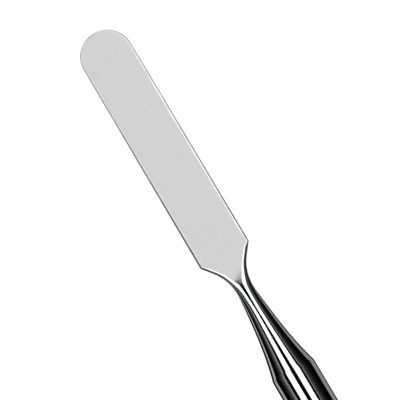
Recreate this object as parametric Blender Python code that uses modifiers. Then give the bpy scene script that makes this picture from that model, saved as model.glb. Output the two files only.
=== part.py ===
"""Palette knife: a forged and ground steel blade brazed into a hollow round steel handle.

Run with: blender --background --python part.py

The knife lies along X, with its tip towards +X and its butt towards -X. The blade is level,
so its upper face looks up, and the handle's lowest line lies on the plane Z = 0.
"""

import math

import bmesh
import bpy

# ---------------------------------------------------------------------------
# Driving dimensions, in metres and radians
# ---------------------------------------------------------------------------

# Blade: a long strip with a half-round tip, thinner at the tip than at the shoulders.
BLADE_LENGTH = 0.0550
BLADE_WIDTH_AT_TIP = 0.0115
BLADE_WIDTH_AT_SHOULDERS = 0.0118
BLADE_THICKNESS_AT_TIP = 0.0007
BLADE_THICKNESS_AT_SHOULDERS = 0.0013
EDGE_RADIUS_AT_TIP = 0.0002
EDGE_RADIUS_AT_SHOULDERS = 0.0005

# Flare: the straight shoulders, and the hollow curve from them into the neck. Its edges are
# rounded over their whole thickness, which the blade's ground edges turn into over a short run.
SHOULDER_SLOPE = math.radians(37.8)
FLARE_FILLET_RADIUS = 0.0098
FLARE_EDGE_REACH = 0.0011
FLARE_EDGE_RUN_IN = 0.0008

# Neck: oval where it is narrowest. Ahead of that place the blade starts to swell in thickness
# and its flat faces run out to a narrow strip. Behind it the section becomes round.
NECK_WIDTH = 0.00386
NECK_FLAT_WIDTH = 0.0003
NECK_FILLET_RADIUS = 0.0180
SWELL_AHEAD_OF_NECK = 0.0039
OVAL_AHEAD_OF_NECK = 0.0015
ROUND_BEHIND_NECK = 0.0069

# Cone: swells from the neck to the diameter of the handle.
CONE_START_SLOPE = math.radians(5.9)
NECK_AND_CONE_LENGTH = 0.0202

# Handle tube.
TUBE_OUTER_DIAMETER = 0.0100
TUBE_WALL = 0.0010
TUBE_LENGTH = 0.1200

# What goes into the two ends of the tube.
BLADE_SPIGOT_LENGTH = 0.0120
PLUG_SPIGOT_LENGTH = 0.0080
PLUG_HEAD_LENGTH = 0.0030
BUTT_FACE_DIAMETER = 0.0050
SPIGOT_CHAMFER = 0.0006

# Braze rings: wire rings laid in a groove of each spigot before it goes into the tube.
BRAZE_WIRE_DIAMETER = 0.0008
BRAZE_GROOVE_SETBACK = 0.0030

# The gap kept wherever two pieces would touch.
ASSEMBLY_GAP = 0.0003

# How finely round surfaces are faceted.
TURNED_STEPS = 64
EDGE_STEPS = 7
TIP_STATIONS = 12
FLARE_STATIONS = 14
NECK_STATIONS = 9
CONE_STATIONS = 9
HEAD_STATIONS = 8
RING_STEPS = 48
RING_WIRE_STEPS = 10

# ---------------------------------------------------------------------------
# Derived dimensions
# ---------------------------------------------------------------------------

TIP_RADIUS = BLADE_WIDTH_AT_TIP / 2
NECK_HALF_WIDTH = NECK_WIDTH / 2
TUBE_RADIUS = TUBE_OUTER_DIAMETER / 2
BORE_RADIUS = TUBE_RADIUS - TUBE_WALL
SPIGOT_RADIUS = BORE_RADIUS - ASSEMBLY_GAP

# The flare, from the shoulders to the narrowest place of the neck.
FILLET_LENGTH = FLARE_FILLET_RADIUS * math.sin(SHOULDER_SLOPE)
FILLET_DROP = FLARE_FILLET_RADIUS * (1 - math.cos(SHOULDER_SLOPE))
SHOULDER_DROP = BLADE_WIDTH_AT_SHOULDERS / 2 - NECK_HALF_WIDTH - FILLET_DROP
SHOULDER_LENGTH = SHOULDER_DROP / math.tan(SHOULDER_SLOPE)

# Stations along the knife, measured back from the tip.
FILLET_STATION = BLADE_LENGTH + SHOULDER_LENGTH
NECK_STATION = FILLET_STATION + FILLET_LENGTH
SWELL_STATION = NECK_STATION - SWELL_AHEAD_OF_NECK
OVAL_STATION = NECK_STATION - OVAL_AHEAD_OF_NECK
ROUND_STATION = NECK_STATION + ROUND_BEHIND_NECK
CONE_STATION = NECK_STATION + NECK_FILLET_RADIUS * math.sin(CONE_START_SLOPE)
CONE_BASE_STATION = NECK_STATION + NECK_AND_CONE_LENGTH
TUBE_FRONT_STATION = CONE_BASE_STATION + ASSEMBLY_GAP
TUBE_REAR_STATION = TUBE_FRONT_STATION + TUBE_LENGTH
PLUG_STATION = TUBE_REAR_STATION + ASSEMBLY_GAP
TOTAL_LENGTH = PLUG_STATION + PLUG_HEAD_LENGTH

# The cone's side leaves the neck's fillet along its tangent and steepens to the handle's
# radius: over a run along the knife it rises by slope * run + bow * run cubed.
CONE_START_RADIUS = NECK_HALF_WIDTH + NECK_FILLET_RADIUS * (1 - math.cos(CONE_START_SLOPE))
CONE_RUN = CONE_BASE_STATION - CONE_STATION
CONE_RISE = TUBE_RADIUS - CONE_START_RADIUS
CONE_BOW = (CONE_RISE - math.tan(CONE_START_SLOPE) * CONE_RUN) / CONE_RUN**3

# Where the section has become round: its radius there, and how fast that grows.
ROUND_RUN = ROUND_STATION - CONE_STATION
ROUND_RADIUS = CONE_START_RADIUS + math.tan(CONE_START_SLOPE) * ROUND_RUN + CONE_BOW * ROUND_RUN**3
ROUND_GROWTH = math.tan(CONE_START_SLOPE) + 3 * CONE_BOW * ROUND_RUN**2

# The braze groove holds the wire ring with the gap on every side.
GROOVE_WIDTH = BRAZE_WIRE_DIAMETER + 2 * ASSEMBLY_GAP
RING_RADIUS = SPIGOT_RADIUS - BRAZE_WIRE_DIAMETER / 2
GROOVE_RADIUS = RING_RADIUS - BRAZE_WIRE_DIAMETER / 2 - ASSEMBLY_GAP


# ---------------------------------------------------------------------------
# Scene, materials and small helpers
# ---------------------------------------------------------------------------


def clear_scene():
    for item in list(bpy.data.objects):
        bpy.data.objects.remove(item, do_unlink=True)


def new_collection(name):
    collection = bpy.data.collections.new(name)
    bpy.context.scene.collection.children.link(collection)
    return collection


def new_material(name, color, roughness):
    material = bpy.data.materials.new(name)
    material.use_nodes = True
    shader = material.node_tree.nodes["Principled BSDF"]
    shader.inputs["Base Color"].default_value = (*color, 1)
    shader.inputs["Metallic"].default_value = 1
    shader.inputs["Roughness"].default_value = roughness
    return material


def x_of(station):
    """X of a place given by its distance back from the tip, measured from the tip's end."""
    return TOTAL_LENGTH / 2 - station


def place(item, collection, axis, station, material):
    """Puts a piece on the knife's axis, with its own origin at a station."""
    collection.objects.link(item)
    item.parent = axis
    item.location = (x_of(station), 0, 0)
    item.data.materials.append(material)


def finish_mesh(mesh):
    mesh.shade_smooth()
    mesh.set_sharp_from_angle(angle=math.radians(30))


def turned_piece(name, profile, closed):
    """A piece turned about its own Z axis, which lies along the knife towards the tip.

    The profile's points are (radius, height), from top to bottom down the outer side.
    """
    mesh = bpy.data.meshes.new(name)
    points = [(radius, 0, height) for radius, height in profile]
    edges = [(i, i + 1) for i in range(len(points) - 1)]
    if closed:
        edges.append((len(points) - 1, 0))
    mesh.from_pydata(points, edges, [])
    item = bpy.data.objects.new(name, mesh)
    item.rotation_euler = (0, math.pi / 2, 0)
    screw = item.modifiers.new("turn", "SCREW")
    screw.axis = "Z"
    screw.steps = TURNED_STEPS
    screw.render_steps = TURNED_STEPS
    screw.use_merge_vertices = True
    screw.merge_threshold = 0.00001
    screw.use_smooth_shade = True
    return item


# ---------------------------------------------------------------------------
# Blade forging: blade, flare, neck, cone and spigot in one piece
# ---------------------------------------------------------------------------


def ease(k):
    return k * k * (3 - 2 * k)


def half_width(station):
    """Half of the outline's width, from the end of the half-round tip to the cone's base."""
    if station <= BLADE_LENGTH:
        k = (station - TIP_RADIUS) / (BLADE_LENGTH - TIP_RADIUS)
        return (BLADE_WIDTH_AT_TIP + k * (BLADE_WIDTH_AT_SHOULDERS - BLADE_WIDTH_AT_TIP)) / 2
    if station <= FILLET_STATION:
        return BLADE_WIDTH_AT_SHOULDERS / 2 - (station - BLADE_LENGTH) * math.tan(SHOULDER_SLOPE)
    if station <= NECK_STATION:
        run = NECK_STATION - station
        return NECK_HALF_WIDTH + FLARE_FILLET_RADIUS - math.sqrt(FLARE_FILLET_RADIUS**2 - run**2)
    if station <= CONE_STATION:
        run = station - NECK_STATION
        return NECK_HALF_WIDTH + NECK_FILLET_RADIUS - math.sqrt(NECK_FILLET_RADIUS**2 - run**2)
    run = station - CONE_STATION
    return CONE_START_RADIUS + math.tan(CONE_START_SLOPE) * run + CONE_BOW * run**3


def half_thickness(station):
    """Half of the thickness on the centre line. It swells smoothly into the round section."""
    shoulder = BLADE_THICKNESS_AT_SHOULDERS / 2
    if station <= BLADE_LENGTH:
        k = station / BLADE_LENGTH
        return BLADE_THICKNESS_AT_TIP / 2 + k * (shoulder - BLADE_THICKNESS_AT_TIP / 2)
    if station <= SWELL_STATION:
        return shoulder
    if station < ROUND_STATION:
        run = ROUND_STATION - SWELL_STATION
        k = (station - SWELL_STATION) / run
        return shoulder + ease(k) * (ROUND_RADIUS - shoulder) + (k**3 - k**2) * ROUND_GROWTH * run
    return half_width(station)


def edge_run_in(station):
    """0 at the shoulders, 1 where the flare's own rounding of the edges is reached."""
    return min(1, (station - BLADE_LENGTH) / FLARE_EDGE_RUN_IN)


def edge_reach(station):
    """How far the rounding of the edges runs in from the outline: almost to the middle, on the neck."""
    if station <= BLADE_LENGTH:
        k = station / BLADE_LENGTH
        return EDGE_RADIUS_AT_TIP + k * (EDGE_RADIUS_AT_SHOULDERS - EDGE_RADIUS_AT_TIP)
    if station >= OVAL_STATION:
        k = min(1, (station - OVAL_STATION) / (ROUND_STATION - OVAL_STATION))
        return half_width(station) - (1 - k) * NECK_FLAT_WIDTH / 2
    reach = EDGE_RADIUS_AT_SHOULDERS
    reach += edge_run_in(station) * (FLARE_EDGE_REACH - EDGE_RADIUS_AT_SHOULDERS)
    k = (station - BLADE_LENGTH) / (OVAL_STATION - BLADE_LENGTH)
    return reach + k**4 * (half_width(station) - NECK_FLAT_WIDTH / 2 - reach)


def edge_drop(station):
    """How far the rounding of the edges runs down from the flat face."""
    if station <= BLADE_LENGTH:
        return edge_reach(station)
    upright = BLADE_THICKNESS_AT_SHOULDERS / 2 - EDGE_RADIUS_AT_SHOULDERS
    return half_thickness(station) - upright * (1 - edge_run_in(station))


def section(station):
    """The (y, z) outline at a station: flat faces above and below, and rounded edges.

    The rounding is measured across the outline, so it follows the curve of the tip. A plane
    across the knife near the end of the tip cuts the rounding slantwise.
    """
    reach = edge_reach(station)
    drop = edge_drop(station)
    straight = half_thickness(station) - drop
    steepest = math.pi / 2
    if station < reach:
        steepest = math.acos(1 - station / reach)
    corner = []
    for i in range(EDGE_STEPS + 1):
        angle = steepest * (1 - i / EDGE_STEPS)
        inset = reach * (1 - math.cos(angle))
        if station < TIP_RADIUS:
            across = math.sqrt(max(0, (TIP_RADIUS - inset) ** 2 - (TIP_RADIUS - station) ** 2))
        else:
            across = half_width(station) - inset
        corner.append((across, straight + drop * math.sin(angle)))
    return mirrored(corner)


def round_section(radius):
    angles = [math.pi / 2 * (1 - i / EDGE_STEPS) for i in range(EDGE_STEPS + 1)]
    return mirrored([(radius * math.cos(angle), radius * math.sin(angle)) for angle in angles])


def mirrored(corner):
    """The whole outline from its upper right corner, once around."""
    side = corner + [(y, -z) for y, z in reversed(corner)]
    return side + [(-y, z) for y, z in reversed(side)]


def spread(start, end, count):
    """The stations that cut a stretch into equal steps, without its first one."""
    return [start + (end - start) * (i + 1) / count for i in range(count)]


def forging_sections():
    """Every (station, outline) from the tip to the end of the spigot."""
    tip = [TIP_RADIUS * (1 - math.cos(math.pi / 2 * i / TIP_STATIONS)) for i in range(TIP_STATIONS + 1)]
    stations = tip + [BLADE_LENGTH]
    stations += spread(BLADE_LENGTH, NECK_STATION, FLARE_STATIONS)
    stations += spread(NECK_STATION, ROUND_STATION, NECK_STATIONS)
    stations += spread(ROUND_STATION, CONE_BASE_STATION, CONE_STATIONS)
    sections = [(station, section(station)) for station in stations]
    return sections + [(station, round_section(radius)) for station, radius in spigot_turning()]


def spigot_turning():
    """(station, radius) from the step at the cone's base to the spigot's chamfered end."""
    groove_start = TUBE_FRONT_STATION + BRAZE_GROOVE_SETBACK
    groove_end = groove_start + GROOVE_WIDTH
    end = CONE_BASE_STATION + BLADE_SPIGOT_LENGTH
    return [
        (CONE_BASE_STATION, SPIGOT_RADIUS),
        (groove_start, SPIGOT_RADIUS),
        (groove_start, GROOVE_RADIUS),
        (groove_end, GROOVE_RADIUS),
        (groove_end, SPIGOT_RADIUS),
        (end - SPIGOT_CHAMFER, SPIGOT_RADIUS),
        (end, SPIGOT_RADIUS - SPIGOT_CHAMFER),
    ]


def make_blade_forging(collection, axis):
    """A loft through the sections. The tip closes to a point and the spigot ends flat."""
    shape = bmesh.new()
    rings = []
    for station, outline in forging_sections():
        rings.append([shape.verts.new((-station, y, z)) for y, z in outline])
    count = len(rings[0])
    for front, rear in zip(rings, rings[1:]):
        for i in range(count):
            j = (i + 1) % count
            shape.faces.new((front[i], front[j], rear[j], rear[i]))
    shape.faces.new(rings[-1])
    bmesh.ops.remove_doubles(shape, verts=shape.verts, dist=0.000001)
    bmesh.ops.recalc_face_normals(shape, faces=shape.faces)
    mesh = bpy.data.meshes.new("blade_forging")
    shape.to_mesh(mesh)
    shape.free()
    finish_mesh(mesh)
    forging = bpy.data.objects.new("blade_forging", mesh)
    place(forging, collection, axis, 0, new_material("ground_steel", (0.66, 0.66, 0.66), 0.28))


# ---------------------------------------------------------------------------
# Handle tube, end plug and braze rings
# ---------------------------------------------------------------------------


def make_handle_tube(collection, axis):
    """Drawn tube, cut square at both ends. Its origin is at its front end."""
    profile = [
        (TUBE_RADIUS, 0),
        (TUBE_RADIUS, -TUBE_LENGTH),
        (BORE_RADIUS, -TUBE_LENGTH),
        (BORE_RADIUS, 0),
    ]
    tube = turned_piece("handle_tube", profile, closed=True)
    place(tube, collection, axis, TUBE_FRONT_STATION, new_material("tube_steel", (0.62, 0.62, 0.62), 0.08))


def make_end_plug(collection, axis):
    """Turned plug: its domed head closes the tube and its spigot goes into the bore.

    Its origin is at the shoulder behind the head, which faces the end of the tube.
    """
    groove_start = ASSEMBLY_GAP + BRAZE_GROOVE_SETBACK
    groove_end = groove_start + GROOVE_WIDTH
    profile = [
        (0, PLUG_SPIGOT_LENGTH),
        (SPIGOT_RADIUS - SPIGOT_CHAMFER, PLUG_SPIGOT_LENGTH),
        (SPIGOT_RADIUS, PLUG_SPIGOT_LENGTH - SPIGOT_CHAMFER),
        (SPIGOT_RADIUS, groove_end),
        (GROOVE_RADIUS, groove_end),
        (GROOVE_RADIUS, groove_start),
        (SPIGOT_RADIUS, groove_start),
        (SPIGOT_RADIUS, 0),
    ]
    butt_radius = BUTT_FACE_DIAMETER / 2
    for i in range(HEAD_STATIONS + 1):
        angle = math.pi / 2 * i / HEAD_STATIONS
        radius = butt_radius + (TUBE_RADIUS - butt_radius) * math.cos(angle)
        profile.append((radius, -PLUG_HEAD_LENGTH * math.sin(angle)))
    profile.append((0, -PLUG_HEAD_LENGTH))
    plug = turned_piece("end_plug", profile, closed=False)
    place(plug, collection, axis, PLUG_STATION, new_material("plug_steel", (0.62, 0.62, 0.62), 0.1))


def make_braze_ring(name, collection, axis, station, material):
    """A ring of brazing wire around a spigot, in the middle of its groove."""
    bpy.ops.mesh.primitive_torus_add(
        major_radius=RING_RADIUS,
        minor_radius=BRAZE_WIRE_DIAMETER / 2,
        major_segments=RING_STEPS,
        minor_segments=RING_WIRE_STEPS,
    )
    ring = bpy.context.object
    ring.name = name
    ring.data.name = name
    ring.data.shade_smooth()
    for owner in list(ring.users_collection):
        owner.objects.unlink(ring)
    ring.rotation_euler = (0, math.pi / 2, 0)
    place(ring, collection, axis, station, material)


def make_braze_rings(collection, axis):
    silver = new_material("silver_braze", (0.78, 0.74, 0.62), 0.35)
    to_middle = BRAZE_GROOVE_SETBACK + GROOVE_WIDTH / 2
    make_braze_ring("front_braze_ring", collection, axis, TUBE_FRONT_STATION + to_middle, silver)
    make_braze_ring("rear_braze_ring", collection, axis, TUBE_REAR_STATION - to_middle, silver)


# ---------------------------------------------------------------------------
# Assembly
# ---------------------------------------------------------------------------


def build():
    clear_scene()
    knife = new_collection("palette_knife")
    axis = bpy.data.objects.new("knife_axis", None)
    axis.location = (0, 0, TUBE_RADIUS)
    knife.objects.link(axis)
    make_blade_forging(knife, axis)
    make_handle_tube(knife, axis)
    make_end_plug(knife, axis)
    make_braze_rings(knife, axis)
    bpy.context.view_layer.update()


build()
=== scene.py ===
import math

import bmesh
import bpy
from mathutils import Matrix, Vector


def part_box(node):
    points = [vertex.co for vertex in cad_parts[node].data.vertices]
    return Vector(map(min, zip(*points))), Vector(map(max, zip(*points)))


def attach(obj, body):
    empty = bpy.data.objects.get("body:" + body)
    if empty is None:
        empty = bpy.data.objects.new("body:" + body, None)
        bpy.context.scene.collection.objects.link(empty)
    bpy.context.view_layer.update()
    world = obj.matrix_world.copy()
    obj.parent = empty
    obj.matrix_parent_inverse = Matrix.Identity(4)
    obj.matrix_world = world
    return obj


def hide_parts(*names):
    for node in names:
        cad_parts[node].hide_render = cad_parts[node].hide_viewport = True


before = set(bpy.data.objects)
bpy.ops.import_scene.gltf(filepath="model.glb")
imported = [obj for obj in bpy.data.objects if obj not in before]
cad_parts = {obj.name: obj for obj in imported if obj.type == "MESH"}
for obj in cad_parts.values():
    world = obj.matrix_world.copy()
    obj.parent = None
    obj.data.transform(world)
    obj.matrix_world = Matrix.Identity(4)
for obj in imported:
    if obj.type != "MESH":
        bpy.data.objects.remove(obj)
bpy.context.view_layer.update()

mm = 0.001

# ---------------------------------------------------------------------------------------------
# Blade forging
# One piece of stainless steel, forged round and drawn out flat. The two faces of the blade are
# ground to a fine satin along their length; its broken edges, the neck and the cone are buffed
# bright. Behind the cone a spigot, turned with a groove for the braze, goes into the handle.
# ---------------------------------------------------------------------------------------------

blade_length = 55.0 * mm
tip_half_width = 5.75 * mm
shoulder_slope = math.radians(37.8)
shoulder_corner_radius = 0.35 * mm
flare_fillet_radius = 9.8 * mm
neck_half_width = 1.93 * mm
neck_half_flat = 0.15 * mm
neck_fillet_radius = 18.0 * mm
cone_start_slope = math.radians(5.9)
swell_ahead_of_neck = 3.9 * mm
oval_ahead_of_neck = 1.5 * mm
round_behind_neck = 6.9 * mm
tip_half_thickness = 0.35 * mm
shoulder_half_thickness = 0.65 * mm
tip_edge_radius = 0.22 * mm
left_shoulder_edge_radius = 0.58 * mm
right_shoulder_edge_radius = 0.38 * mm
flare_edge_reach = 1.1 * mm
flare_edge_run_in = 0.8 * mm
assembly_gap = 0.3 * mm
seam_width = 0.03 * mm
seam_edge_break = 0.04 * mm
# A broken edge is two facets, which meet this share of its width in from both faces. The side
# behind it starts with a short ring, this share of its width long, that holds the shading.
facet_share = 0.3
ring_share = 0.5
groove_setback = 3.0 * mm
braze_groove = 1.4 * mm
braze_groove_depth = 1.1 * mm
spigot_clearance = 0.3 * mm
spigot_chamfer = 0.6 * mm

forging_low, forging_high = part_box("blade_forging")
tube_low, tube_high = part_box("handle_tube")
shoulder_half_width = (forging_high.y - forging_low.y) / 2
tip_x = forging_high.x
axis_z = (tube_low.z + tube_high.z) / 2
tube_radius = (tube_high.z - tube_low.z) / 2
tube_wall = 1.0 * mm
bore_radius = tube_radius - tube_wall
spigot_radius = bore_radius - spigot_clearance

# Stations are distances back from the end of the tip.
fillet_start = blade_length + (
    shoulder_half_width - neck_half_width - flare_fillet_radius * (1 - math.cos(shoulder_slope))
) / math.tan(shoulder_slope)
neck_start = fillet_start + flare_fillet_radius * math.sin(shoulder_slope)
swell_start = neck_start - swell_ahead_of_neck
oval_start = neck_start - oval_ahead_of_neck
round_start = neck_start + round_behind_neck
cone_start = neck_start + neck_fillet_radius * math.sin(cone_start_slope)
cone_start_radius = neck_half_width + neck_fillet_radius * (1 - math.cos(cone_start_slope))
tube_front = tip_x - tube_high.x
cone_end = tube_front - assembly_gap
cone_bow = (
    tube_radius - cone_start_radius - math.tan(cone_start_slope) * (cone_end - cone_start)
) / (cone_end - cone_start) ** 3
seam_station = tube_front - assembly_gap / 2
spigot_end = tip_x - forging_low.x


def half_width(station):
    """Half of the outline's width behind the half-round tip."""
    corner_start = blade_length - shoulder_corner_radius * math.tan(shoulder_slope / 2)
    corner_end = corner_start + shoulder_corner_radius * math.sin(shoulder_slope)
    if station <= corner_start:
        k = (station - tip_half_width) / (blade_length - tip_half_width)
        return tip_half_width + k * (shoulder_half_width - tip_half_width)
    if station <= corner_end:
        run = station - corner_start
        drop = shoulder_corner_radius - math.sqrt(shoulder_corner_radius**2 - run**2)
        return shoulder_half_width - drop
    if station <= fillet_start:
        return shoulder_half_width - (station - blade_length) * math.tan(shoulder_slope)
    if station <= neck_start:
        run = neck_start - station
        return neck_half_width + flare_fillet_radius - math.sqrt(flare_fillet_radius**2 - run**2)
    if station <= cone_start:
        run = station - neck_start
        return neck_half_width + neck_fillet_radius - math.sqrt(neck_fillet_radius**2 - run**2)
    run = min(station, cone_end) - cone_start
    return cone_start_radius + math.tan(cone_start_slope) * run + cone_bow * run**3


def half_thickness(station):
    """Half of the thickness on the centre line. It swells smoothly into the round section."""
    if station <= blade_length:
        k = station / blade_length
        return tip_half_thickness + k * (shoulder_half_thickness - tip_half_thickness)
    if station <= swell_start:
        return shoulder_half_thickness
    if station < round_start:
        run = round_start - swell_start
        k = (station - swell_start) / run
        rise = half_width(round_start) - shoulder_half_thickness
        growth = math.tan(cone_start_slope) + 3 * cone_bow * (round_start - cone_start) ** 2
        return shoulder_half_thickness + k * k * (3 - 2 * k) * rise + (k**3 - k**2) * growth * run
    return half_width(station)


def edge_run_in(station):
    """0 at the shoulders, 1 where the flare's own rounding of the edges is reached."""
    return min(1, (station - blade_length) / flare_edge_run_in)


def edge_reach(station, shoulder_edge_radius):
    """How far the rounding of an edge runs in from the outline: almost to the middle, on the neck."""
    if station <= blade_length:
        k = max(0, station - tip_half_width) / (blade_length - tip_half_width)
        return tip_edge_radius + k * (shoulder_edge_radius - tip_edge_radius)
    if station >= oval_start:
        k = min(1, (station - oval_start) / (round_start - oval_start))
        return half_width(station) - (1 - k) * neck_half_flat
    reach = shoulder_edge_radius
    reach += edge_run_in(station) * (flare_edge_reach - shoulder_edge_radius)
    k = (station - blade_length) / (oval_start - blade_length)
    return reach + k**4 * (half_width(station) - neck_half_flat - reach)


def edge_drop(station, shoulder_edge_radius):
    """How far the rounding of an edge runs down from the flat face."""
    if station <= blade_length:
        return edge_reach(station, shoulder_edge_radius)
    upright = shoulder_half_thickness - shoulder_edge_radius
    return half_thickness(station) - upright * (1 - edge_run_in(station))


edge_steps = 14
flat_margin = 0.03 * mm
left_roll_width = 0.35 * mm
right_roll_width = 0.24 * mm
roll_slope = math.radians(7)
right_roll_polish = 0.4
# The part of a roll-off, from its foot, over which its polish is even.
evenly_polished = 0.8
# Both edges are alike round the tip. The right one's roll-off changes between these stations.
right_roll_changes = 1.0 * mm
right_roll_changed = 12.0 * mm
# Degrees round an edge at which its buffing begins, and how many it takes to be complete.
left_buffing_start = 11
right_buffing_start = 6
buffing_run = 10


def half_section(station, shoulder_edge_radius, roll_width, roll_polish, buffing_start):
    """Half of the outline at a station as (y, z, polish), from the top face down.

    The grinding rolls the blade's faces off a little before the rounding of the edges. A point
    on the flat close to that comes first, so that its shading doesn't spread over the face.
    """
    reach = edge_reach(station, shoulder_edge_radius)
    drop = edge_drop(station, shoulder_edge_radius)
    past_shoulders = edge_run_in(station) if station > blade_length else 0
    roll = roll_width * (1 - past_shoulders)
    rolled = roll * math.tan(roll_slope)
    straight = half_thickness(station) - rolled - drop
    steepest = math.acos(1 - station / reach) if station < reach else math.pi / 2

    def across(inset):
        if station < tip_half_width:
            return math.sqrt(max(0, (tip_half_width - inset) ** 2 - (tip_half_width - station) ** 2))
        return half_width(station) - inset

    corner = []
    for i in range(edge_steps + 1):
        turn = 1 - i / edge_steps
        angle = steepest * turn
        inset = reach * (1 - math.cos(angle))
        buffed = min(1, max(0, (90 * (1 - turn) - buffing_start) / buffing_run))
        buffed = roll_polish + (1 - roll_polish) * buffed * buffed * (3 - 2 * buffed)
        corner.append((across(inset), straight + drop * math.sin(angle), buffed))
    on_roll = min(roll, max(0, station - reach))
    foot = corner[0][1]
    slope = rolled / roll if roll > 0 else 0
    flat = across(reach + on_roll)
    even = evenly_polished * on_roll
    corner.insert(0, (across(reach + even), foot + even * slope, roll_polish))
    corner.insert(0, (flat, foot + on_roll * slope, 0))
    corner.insert(0, (max(flat - flat_margin, 0.5 * flat), foot + on_roll * slope, 0))
    return corner + [(y, -z, polish) for y, z, polish in reversed(corner)]


def forging_section(station):
    """The whole outline. The right edge is sharper than the left, and its roll-off is buffed."""
    left = half_section(station, left_shoulder_edge_radius, left_roll_width, 0, left_buffing_start)
    k = (station - right_roll_changes) / (right_roll_changed - right_roll_changes)
    k = min(1, max(0, k))
    width = left_roll_width + k * (right_roll_width - left_roll_width)
    right = half_section(
        station, right_shoulder_edge_radius, width, k * right_roll_polish, right_buffing_start
    )
    return left + [(-y, z, polish) for y, z, polish in reversed(right)]


def round_section(radius):
    """A round outline with as many points as the others."""
    corner = []
    for i in range(edge_steps + 1):
        angle = math.pi / 2 * (1 - i / edge_steps)
        corner.append((radius * math.cos(angle), radius * math.sin(angle), 1))
    corner = [(0, radius, 1)] * 3 + corner
    side = corner + [(y, -z, polish) for y, z, polish in reversed(corner)]
    return side + [(-y, z, polish) for y, z, polish in reversed(side)]


def evenly(start, end, count):
    """Stations that cut a stretch into equal steps, without its first one."""
    return [start + (end - start) * (i + 1) / count for i in range(count)]


neck_buffing_start = swell_start - 0.3 * mm
neck_buffing_run = 4.9 * mm
# The buffing begins nearer the tip by this share of the distance to the right of the axis.
neck_buffing_skew = 0.5


def polish_behind(station, y):
    """0 on the satin of the flat faces, 1 where the neck's bright buffing is reached."""
    into_buffing = station - neck_buffing_skew * y - neck_buffing_start
    still_satin = 1 - min(1, max(0, into_buffing / neck_buffing_run))
    return 1 - still_satin**2


# How finely each stretch of the forging is cut, and where the shoulders' corners are cut finest.
tip_steps = 56
blade_steps = 24
corner_steps = 14
flare_steps = 60
neck_steps = 32
cone_steps = 48
corners_from = blade_length - 0.3 * mm
corners_to = blade_length + 0.4 * mm
merge_distance = 0.0005 * mm
forging_crease = math.radians(35)


def make_blade_forging():
    stations = []
    for i in range(tip_steps + 1):
        stations.append(tip_half_width * (1 - math.cos(math.pi / 2 * i / tip_steps)))
    stations += evenly(tip_half_width, corners_from, blade_steps)
    stations += evenly(corners_from, corners_to, corner_steps)
    stations += evenly(stations[-1], neck_start, flare_steps)
    stations += evenly(neck_start, round_start, neck_steps)
    face = seam_station - seam_width / 2
    base = face - seam_edge_break
    stations += evenly(round_start, base - ring_share * seam_edge_break, cone_steps)
    rings = [(station, forging_section(station)) for station in stations]
    groove = tube_front + groove_setback
    turning = [
        (base, tube_radius),
        (face - facet_share * seam_edge_break, tube_radius - facet_share * seam_edge_break),
        (face, tube_radius - seam_edge_break),
        (face, spigot_radius),
        (groove, spigot_radius),
        (groove, spigot_radius - braze_groove_depth),
        (groove + braze_groove, spigot_radius - braze_groove_depth),
        (groove + braze_groove, spigot_radius),
        (spigot_end - spigot_chamfer, spigot_radius),
        (spigot_end, spigot_radius - spigot_chamfer),
    ]
    rings += [(station, round_section(radius)) for station, radius in turning]

    shape = bmesh.new()
    polish_layer = shape.verts.layers.float.new("polish")
    rows = []
    for station, outline in rings:
        row = []
        for y, z, polish in outline:
            vertex = shape.verts.new((tip_x - station, y, axis_z + z))
            vertex[polish_layer] = max(polish, polish_behind(station, y))
            row.append(vertex)
        rows.append(row)
    count = len(rows[0])
    for front, rear in zip(rows, rows[1:]):
        for i in range(count):
            j = (i + 1) % count
            shape.faces.new((front[i], front[j], rear[j], rear[i]))
    shape.faces.new(rows[-1])
    bmesh.ops.remove_doubles(shape, verts=shape.verts, dist=merge_distance)
    bmesh.ops.recalc_face_normals(shape, faces=shape.faces)
    mesh = bpy.data.meshes.new("forging")
    shape.to_mesh(mesh)
    shape.free()
    mesh.shade_smooth()
    mesh.set_sharp_from_angle(angle=forging_crease)
    forging = bpy.data.objects.new("forging", mesh)
    bpy.context.collection.objects.link(forging)
    return forging


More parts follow.
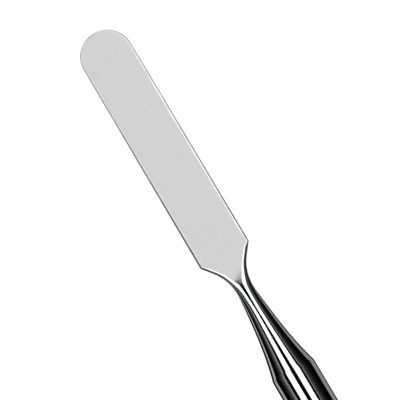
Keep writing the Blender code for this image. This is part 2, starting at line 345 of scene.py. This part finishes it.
class Finish:
    """A metal finish under construction: a Principled shader and a short way to add nodes."""

    def __init__(self, name):
        self.material = bpy.data.materials.new(name)
        self.material.use_nodes = True
        self.tree = self.material.node_tree
        self.shader = self.tree.nodes["Principled BSDF"]
        self.shader.inputs["Metallic"].default_value = 1
        self.place = self.add("ShaderNodeTexCoord").outputs["Object"]

    def add(self, kind, **settings):
        node = self.tree.nodes.new(kind)
        for name, value in settings.items():
            setattr(node, name, value)
        return node

    def join(self, source, target):
        self.tree.links.new(source, target)

    def streaks(self, stretch, detail=3.0):
        """Noise drawn out by a scale for each axis, per metre."""
        mapping = self.add("ShaderNodeMapping")
        mapping.inputs["Scale"].default_value = stretch
        self.join(self.place, mapping.inputs["Vector"])
        noise = self.add("ShaderNodeTexNoise")
        noise.inputs["Scale"].default_value = 1
        noise.inputs["Detail"].default_value = detail
        self.join(mapping.outputs["Vector"], noise.inputs["Vector"])
        return noise.outputs["Fac"]

    def spread(self, source, low, high, from_low=0.25, from_high=0.75):
        """Maps a texture's usual range onto a working range."""
        ranged = self.add("ShaderNodeMapRange")
        ranged.inputs["From Min"].default_value = from_low
        ranged.inputs["From Max"].default_value = from_high
        ranged.inputs["To Min"].default_value = low
        ranged.inputs["To Max"].default_value = high
        self.join(source, ranged.inputs["Value"])
        return ranged.outputs["Result"]

    def work_out(self, operation, a, b):
        """The result of a sum on two numbers or textures."""
        node = self.add("ShaderNodeMath", operation=operation)
        for socket, value in zip(node.inputs, (a, b)):
            if isinstance(value, (int, float)):
                socket.default_value = value
            else:
                self.join(value, socket)
        return node.outputs[0]

    def between(self, factor, a, b):
        """A number that goes from a to b as the factor goes from 0 to 1."""
        node = self.add("ShaderNodeMix", data_type="FLOAT")
        for socket, value in zip((node.inputs[0], node.inputs[2], node.inputs[3]), (factor, a, b)):
            if isinstance(value, (int, float)):
                socket.default_value = value
            else:
                self.join(value, socket)
        return node.outputs[0]

    def grey(self, value):
        """A grey whose lightness is a texture."""
        node = self.add("ShaderNodeCombineColor")
        for name in ("Red", "Green", "Blue"):
            self.join(value, node.inputs[name])
        return node.outputs["Color"]

    def relief(self, height, depth):
        """Bumps that follow a texture, up to a depth."""
        bump = self.add("ShaderNodeBump")
        bump.inputs["Strength"].default_value = 1
        bump.inputs["Distance"].default_value = depth
        self.join(height, bump.inputs["Height"])
        self.join(bump.outputs["Normal"], self.shader.inputs["Normal"])


# Small stains on the satin. A grid has this many cells to the metre. A cell has a stain if its
# random grey is over the threshold, and the radii are shares of a cell's width.
stain_cells = 190
stain_middle, stain_edge = 0.008, 0.022
stain_threshold = 0.62
stain_darkness = 0.45
grinding_depth = 0.0004 * mm


def ground_steel():
    """Satin faces and bright edges on one steel, told apart by the mesh's polish value."""
    finish = Finish("ground_steel")
    polish = finish.add("ShaderNodeAttribute", attribute_name="polish").outputs["Fac"]
    grinding = finish.streaks((220, 9000, 9000))
    ragged = finish.spread(finish.streaks((260, 4200, 4200)), -1.2, 1.2)
    part_way = finish.work_out("MULTIPLY", polish, finish.work_out("SUBTRACT", 1, polish))
    polish = finish.work_out("ADD", polish, finish.work_out("MULTIPLY", ragged, part_way))
    buffing = finish.streaks((500, 500, 500), detail=5)
    stains = finish.add("ShaderNodeTexVoronoi", voronoi_dimensions="2D")
    stains.inputs["Scale"].default_value = stain_cells
    finish.join(finish.place, stains.inputs["Vector"])
    near = finish.spread(stains.outputs["Distance"], 1, 0, stain_middle, stain_edge)
    kept = finish.work_out("GREATER_THAN", stains.outputs["Color"], stain_threshold)
    stain = finish.work_out("MULTIPLY", finish.work_out("MULTIPLY", near, kept), stain_darkness)
    satin_grey = finish.work_out("SUBTRACT", finish.spread(grinding, 0.69, 0.75), stain)
    bright_grey = finish.spread(buffing, 0.66, 0.70)
    finish.join(
        finish.grey(finish.between(polish, satin_grey, bright_grey)),
        finish.shader.inputs["Base Color"],
    )
    satin_rough = finish.spread(grinding, 0.44, 0.50)
    bright_rough = finish.spread(buffing, 0.025, 0.055)
    finish.join(finish.between(polish, satin_rough, bright_rough), finish.shader.inputs["Roughness"])
    finish.relief(finish.between(polish, grinding, 0.5), grinding_depth)
    return finish.material


forging = make_blade_forging()
forging.data.materials.append(ground_steel())
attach(forging, "root")
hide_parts("blade_forging")

# ---------------------------------------------------------------------------------------------
# Handle tube
# Drawn stainless tube with a 1 mm wall, cut square, its outer edges just broken, and buffed to
# a mirror. It is pushed over the forging's spigot until only a hair-fine seam is left.
# ---------------------------------------------------------------------------------------------

tube_end_break = 0.06 * mm
turned_steps = 256
turned_crease = math.radians(32)
drawn_line_depth = 0.0001 * mm


def turned_piece(name, profile, closed):
    """A piece turned about the knife's axis. Its profile is (x, radius) from point to point."""
    shape = bmesh.new()
    rows = []
    for x, radius in profile:
        if radius == 0:
            rows.append([shape.verts.new((x, 0, axis_z))])
            continue
        row = []
        for i in range(turned_steps):
            angle = 2 * math.pi * i / turned_steps
            row.append(shape.verts.new((x, radius * math.cos(angle), axis_z + radius * math.sin(angle))))
        rows.append(row)
    pairs = list(zip(rows, rows[1:]))
    if closed:
        pairs.append((rows[-1], rows[0]))
    for a, b in pairs:
        for i in range(turned_steps):
            j = (i + 1) % turned_steps
            corners = [a[i % len(a)], a[j % len(a)], b[j % len(b)], b[i % len(b)]]
            shape.faces.new(list(dict.fromkeys(corners)))
    bmesh.ops.recalc_face_normals(shape, faces=shape.faces)
    mesh = bpy.data.meshes.new(name)
    shape.to_mesh(mesh)
    shape.free()
    mesh.shade_smooth()
    mesh.set_sharp_from_angle(angle=turned_crease)
    piece = bpy.data.objects.new(name, mesh)
    bpy.context.collection.objects.link(piece)
    return piece


def buffed_steel(name, grey, roughness):
    """Mirror finish with the faint lengthwise lines that drawing and buffing leave."""
    finish = Finish(name)
    drawing = finish.streaks((12, 2600, 2600))
    haze = finish.streaks((160, 160, 160), detail=4)
    tone = finish.work_out("ADD", finish.spread(drawing, -0.02, 0.02), finish.spread(haze, -0.01, 0.01))
    finish.join(finish.grey(finish.work_out("ADD", tone, grey)), finish.shader.inputs["Base Color"])
    rough = finish.work_out("ADD", finish.spread(drawing, -0.015, 0.02), finish.spread(haze, -0.01, 0.02))
    finish.join(finish.work_out("ADD", rough, roughness), finish.shader.inputs["Roughness"])
    finish.relief(drawing, drawn_line_depth)
    return finish.material


tube_face = tip_x - (seam_station + seam_width / 2)
tube_rear_face = tube_low.x - assembly_gap / 2 + seam_width / 2
tube_profile = [
    (tube_face, bore_radius),
    (tube_face, tube_radius - seam_edge_break),
    (tube_face - facet_share * seam_edge_break, tube_radius - facet_share * seam_edge_break),
    (tube_face - seam_edge_break, tube_radius),
    (tube_face - (1 + ring_share) * seam_edge_break, tube_radius),
    (tube_rear_face + (1 + ring_share) * tube_end_break, tube_radius),
    (tube_rear_face + tube_end_break, tube_radius),
    (tube_rear_face + facet_share * tube_end_break, tube_radius - facet_share * tube_end_break),
    (tube_rear_face, tube_radius - tube_end_break),
    (tube_rear_face, bore_radius),
]
tube = turned_piece("tube", tube_profile, closed=True)
tube.data.materials.append(buffed_steel("tube_steel", 0.68, 0.045))
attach(tube, "root")
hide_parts("handle_tube")

# ---------------------------------------------------------------------------------------------
# End plug
# Turned from bar: a domed head that closes the tube, with a small flat at its centre, and a
# spigot with a braze groove inside the bore. Its head is buffed with the tube, its seam as fine.
# ---------------------------------------------------------------------------------------------

butt_flat_radius = 2.5 * mm
head_steps = 28
plug_low, plug_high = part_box("end_plug")
plug_shoulder = tube_low.x - assembly_gap / 2 - seam_width / 2
plug_head_length = plug_shoulder - plug_low.x

plug_groove = tube_low.x + groove_setback
plug_profile = [
    (plug_high.x, 0),
    (plug_high.x, spigot_radius - spigot_chamfer),
    (plug_high.x - spigot_chamfer, spigot_radius),
    (plug_groove + braze_groove, spigot_radius),
    (plug_groove + braze_groove, spigot_radius - braze_groove_depth),
    (plug_groove, spigot_radius - braze_groove_depth),
    (plug_groove, spigot_radius),
    (plug_shoulder, spigot_radius),
    (plug_shoulder, tube_radius - tube_end_break),
    (plug_shoulder - facet_share * tube_end_break, tube_radius - facet_share * tube_end_break),
]
for step in range(head_steps + 1):
    angle = math.pi / 2 * step / head_steps
    dome_length = plug_head_length - tube_end_break
    plug_profile.append(
        (
            plug_shoulder - tube_end_break - dome_length * math.sin(angle),
            butt_flat_radius + (tube_radius - butt_flat_radius) * math.cos(angle),
        )
    )
plug_profile.append((plug_low.x, 0))
plug = turned_piece("plug", plug_profile, closed=False)
plug.data.materials.append(buffed_steel("plug_steel", 0.67, 0.07))
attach(plug, "root")
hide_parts("end_plug")

# ---------------------------------------------------------------------------------------------
# Braze rings
# Rings of silver brazing wire, one around each spigot. They sit in their grooves inside the
# tube until the heat runs them into the joint, so none of them shows on the finished knife.
# ---------------------------------------------------------------------------------------------

braze_skin_depth = 0.004 * mm


def silver_braze():
    finish = Finish("silver_braze")
    skin = finish.streaks((900, 900, 900), detail=4)
    finish.join(finish.grey(finish.spread(skin, 0.66, 0.78)), finish.shader.inputs["Base Color"])
    finish.join(finish.spread(skin, 0.28, 0.42), finish.shader.inputs["Roughness"])
    finish.relief(skin, braze_skin_depth)
    return finish.material


braze = silver_braze()
for name in ("front_braze_ring", "rear_braze_ring"):
    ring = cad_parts[name]
    ring.data.materials.clear()
    ring.data.materials.append(braze)

# ---------------------------------------------------------------------------------------------
# Camera
# A long lens almost straight above the blade, a few degrees towards the handle and to one side,
# turned so that the knife lies across the view with its tip at the upper left.
# ---------------------------------------------------------------------------------------------

lens = 600
sensor = 36
view_width = 84.4 * mm
lean_to_handle = math.radians(8.1)
lean_to_side = math.radians(2.8)
knife_turn = math.radians(30.62)
clip_near = 0.01
clip_far = 40
aim_behind_tip = 42.27 * mm
aim_to_right = 1.43 * mm
aim = Vector((tip_x - aim_behind_tip, -aim_to_right, axis_z))

towards_camera = Vector((-math.tan(lean_to_handle), math.tan(lean_to_side), 1)).normalized()
along = Vector((1, 0, 0))
along = (along - along.dot(towards_camera) * towards_camera).normalized()
across = towards_camera.cross(along)
view_right = -math.sin(knife_turn) * along - math.cos(knife_turn) * across
view_up = math.cos(knife_turn) * along - math.sin(knife_turn) * across

camera_data = bpy.data.cameras.new("camera")
camera_data.lens = lens
camera_data.sensor_width = sensor
camera_data.clip_start = clip_near
camera_data.clip_end = clip_far
camera = bpy.data.objects.new("camera", camera_data)
bpy.context.collection.objects.link(camera)
distance = view_width * lens / sensor
turn = Matrix((view_right, view_up, towards_camera)).transposed()
camera.matrix_world = Matrix.Translation(aim + distance * towards_camera) @ turn.to_4x4()
bpy.context.scene.camera = camera

# ---------------------------------------------------------------------------------------------
# Studio
# A pale table under two long overhead softboxes with a dark gap between them, in a dim tent that
# is closed at both ends. What the bright steel mirrors of the table is a glowing grey card with
# painted light and shade: a painted contact shadow under the knife and a pale strip of painted
# light along each side of it, dark beyond.
# ---------------------------------------------------------------------------------------------

rig_radius = 1.4
rig_length = 5.0
softbox_radiance = 1.85
# Angles around the knife from straight up, positive towards +Y.
gap_edges = (math.radians(-5.6), math.radians(13.9))
outer_edges = (math.radians(-30.5), math.radians(40.2))
tent_radius = 1.05 * rig_radius
tent_steps = 96
fade_steps = 7
table_size = 12
table_top = -0.02 * mm
table_glow = 0.75
table_white = 0.9
card_size = 2
card_top = -0.03 * mm
card_reach = 60 * mm


def emitter(name, strength=1.0):
    """A glowing material, with the tree and the node that a colour can be joined to."""
    material = bpy.data.materials.new(name)
    material.use_nodes = True
    tree = material.node_tree
    tree.nodes.clear()
    output = tree.nodes.new("ShaderNodeOutputMaterial")
    glow = tree.nodes.new("ShaderNodeEmission")
    glow.inputs["Strength"].default_value = strength
    tree.links.new(glow.outputs["Emission"], output.inputs["Surface"])
    return material, tree, glow


def softbox(name, first, last):
    """A strip light as wide as the angle that it fills, seen from the knife's axis."""
    middle = (first + last) / 2
    width = 2 * rig_radius * math.tan(abs(last - first) / 2)
    light = bpy.data.lights.new(name, "AREA")
    light.shape = "RECTANGLE"
    light.size = rig_length
    light.size_y = width
    light.energy = softbox_radiance * math.pi * rig_length * width
    item = bpy.data.objects.new(name, light)
    out = Vector((0, math.sin(middle), math.cos(middle)))
    side = Vector((1, 0, 0)).cross(out)
    item.matrix_world = Matrix.Translation(rig_radius * out + Vector((0, 0, axis_z))) @ Matrix(
        (Vector((1, 0, 0)), -side, out)
    ).transposed().to_4x4()
    item.visible_camera = False
    bpy.context.collection.objects.link(item)


softbox("left_softbox", gap_edges[1], outer_edges[1])
softbox("right_softbox", gap_edges[0], outer_edges[0])


def sheet_of(name, corners):
    """A flat sheet that belongs to the studio and not to the knife."""
    mesh = bpy.data.meshes.new(name)
    mesh.from_pydata(corners, [], [(0, 1, 2, 3)])
    item = bpy.data.objects.new(name, mesh)
    bpy.context.collection.objects.link(item)
    return item


def square(size, z):
    return [(-size, -size, z), (size, -size, z), (size, size, z), (-size, size, z)]


def make_table():
    """The white table that the camera sees. The steel doesn't mirror it."""
    table = sheet_of("table", square(table_size, table_top))
    table.visible_glossy = False
    material, tree, glow = emitter("white_table", table_glow)
    diffuse = tree.nodes.new("ShaderNodeBsdfDiffuse")
    diffuse.inputs["Color"].default_value = (table_white, table_white, table_white, 1)
    both = tree.nodes.new("ShaderNodeAddShader")
    tree.links.new(glow.outputs["Emission"], both.inputs[0])
    tree.links.new(diffuse.outputs["BSDF"], both.inputs[1])
    output = next(node for node in tree.nodes if node.type == "OUTPUT_MATERIAL")
    tree.links.new(both.outputs[0], output.inputs["Surface"])
    table.data.materials.append(material)


def coordinates_of(tree):
    """The place on an object, as its X, Y and Z."""
    place = tree.nodes.new("ShaderNodeTexCoord")
    split = tree.nodes.new("ShaderNodeSeparateXYZ")
    tree.links.new(place.outputs["Object"], split.inputs["Vector"])
    return split.outputs


def grade(tree, glow, source, low, high, stops):
    """Grades a glow along a coordinate. Each stop is (coordinate, brightness), from low to high."""
    share = tree.nodes.new("ShaderNodeMapRange")
    share.inputs["From Min"].default_value = low
    share.inputs["From Max"].default_value = high
    tree.links.new(source, share.inputs["Value"])
    ramp = tree.nodes.new("ShaderNodeValToRGB")
    elements = ramp.color_ramp.elements
    while len(elements) < len(stops):
        elements.new(0.5)
    for element, (coordinate, value) in zip(elements, stops):
        element.position = (coordinate - low) / (high - low)
        element.color = (value, value, value, 1)
    tree.links.new(share.outputs["Result"], ramp.inputs["Fac"])
    tree.links.new(ramp.outputs["Color"], glow.inputs["Color"])


def hide_from_view(item):
    """Hides a sheet from the camera and from diffuse surfaces. The steel still mirrors it."""
    item.visible_camera = False
    item.visible_diffuse = False


def make_card_painted_shade():
    """The grey card: what the steel mirrors of the table. Its glow is painted shade and light: a painted
    contact shadow under the knife, a painted pale strip on each side, dark beyond.
    """
    card = sheet_of("card", square(card_size, card_top))
    hide_from_view(card)
    material, tree, glow = emitter("card_painted_shade")
    # Painted shade and light across the card: near black within about 10 mm of the knife's axis as a
    # painted contact shadow, then a pale strip of painted light on each side, falling to dark further out.
    stops = [
        (-32.0 * mm, 0.0),
        (-27.0 * mm, 0.33),
        (-10.9 * mm, 0.35),
        (-9.8 * mm, 0.005),
        (10.6 * mm, 0.005),
        (11.7 * mm, 0.48),
        (19.0 * mm, 0.5),
        (20.8 * mm, 0.0),
    ]
    grade(tree, glow, coordinates_of(tree)["Y"], -card_reach, card_reach, stops)
    card.data.materials.append(material)


def fade(start, brightness, run):
    """Stops from an angle in degrees down to the table, each dimmer by the same share."""
    end = math.copysign(90, start)
    stops = []
    for i in range(fade_steps + 1):
        degrees = start + (end - start) * i / fade_steps
        stops.append((degrees, brightness * math.exp(-abs(degrees - start) / run)))
    return stops


def make_tent():
    """A dim half-round tent over the knife: it only lifts the steel beside the softboxes."""
    shape = bmesh.new()
    rows = []
    for i in range(tent_steps + 1):
        angle = math.pi * (i / tent_steps - 0.5)
        y = tent_radius * math.sin(angle)
        z = axis_z + tent_radius * math.cos(angle)
        rows.append([shape.verts.new((x, y, z)) for x in (-rig_length / 2, rig_length / 2)])
    for a, b in zip(rows, rows[1:]):
        shape.faces.new((a[0], a[1], b[1], b[0]))
    mesh = bpy.data.meshes.new("tent")
    shape.to_mesh(mesh)
    shape.free()
    mesh.shade_smooth()
    tent = bpy.data.objects.new("tent", mesh)
    bpy.context.collection.objects.link(tent)
    hide_from_view(tent)
    tent.visible_shadow = False
    material, tree, glow = emitter("tent_cloth")
    place = coordinates_of(tree)
    angle = tree.nodes.new("ShaderNodeMath")
    angle.operation = "ARCTAN2"
    tree.links.new(place["Y"], angle.inputs[0])
    tree.links.new(place["Z"], angle.inputs[1])
    # The cloth is dark from its right edge to its left one, over the softboxes. It has a bright
    # hem on the right, and fades to the table on both sides. Angles are degrees from straight up.
    right_hem, right_edge, left_edge = (-43.5, 0.34), (-41.5, 0.0), (55, 0.0)
    right_fade = fade(start=-47, brightness=0.1, run=9)
    left_fade = fade(start=58.5, brightness=0.4, run=8)
    stops = right_fade + [right_hem, right_edge, left_edge] + left_fade
    stops = [(math.radians(degrees), value) for degrees, value in sorted(stops)]
    grade(tree, glow, angle.outputs[0], -math.pi / 2, math.pi / 2, stops)
    tent.data.materials.append(material)


def make_tent_end(name, x):
    """A flat end of the tent, dim at the table and lighter towards the ridge."""
    corners = [(-tent_radius, 0), (tent_radius, 0), (tent_radius, tent_radius), (-tent_radius, tent_radius)]
    end = sheet_of(name, [(x, y, z) for y, z in corners])
    hide_from_view(end)
    end.visible_shadow = False
    material, tree, glow = emitter(name + "_cloth")
    stops = [(0.0, 0.05), (0.35, 0.16), (0.75, 0.5), (1.0, 0.6)]
    stops = [(share * tent_radius, value) for share, value in stops]
    grade(tree, glow, coordinates_of(tree)["Z"], 0, tent_radius, stops)
    end.data.materials.append(material)


make_table()
make_card_painted_shade()
make_tent()
make_tent_end("tent_front", -rig_length / 2)
make_tent_end("tent_back", rig_length / 2)

# The room beyond the table is white to the camera and is not mirrored.
world = bpy.data.worlds.new("room")
world.use_nodes = True
world.node_tree.nodes["Background"].inputs["Color"].default_value = (1, 1, 1, 1)
world.node_tree.nodes["Background"].inputs["Strength"].default_value = 1.0
bpy.context.scene.world = world
world.cycles_visibility.glossy = False
world.cycles_visibility.diffuse = False
bpy.context.scene.view_settings.view_transform = "Standard"
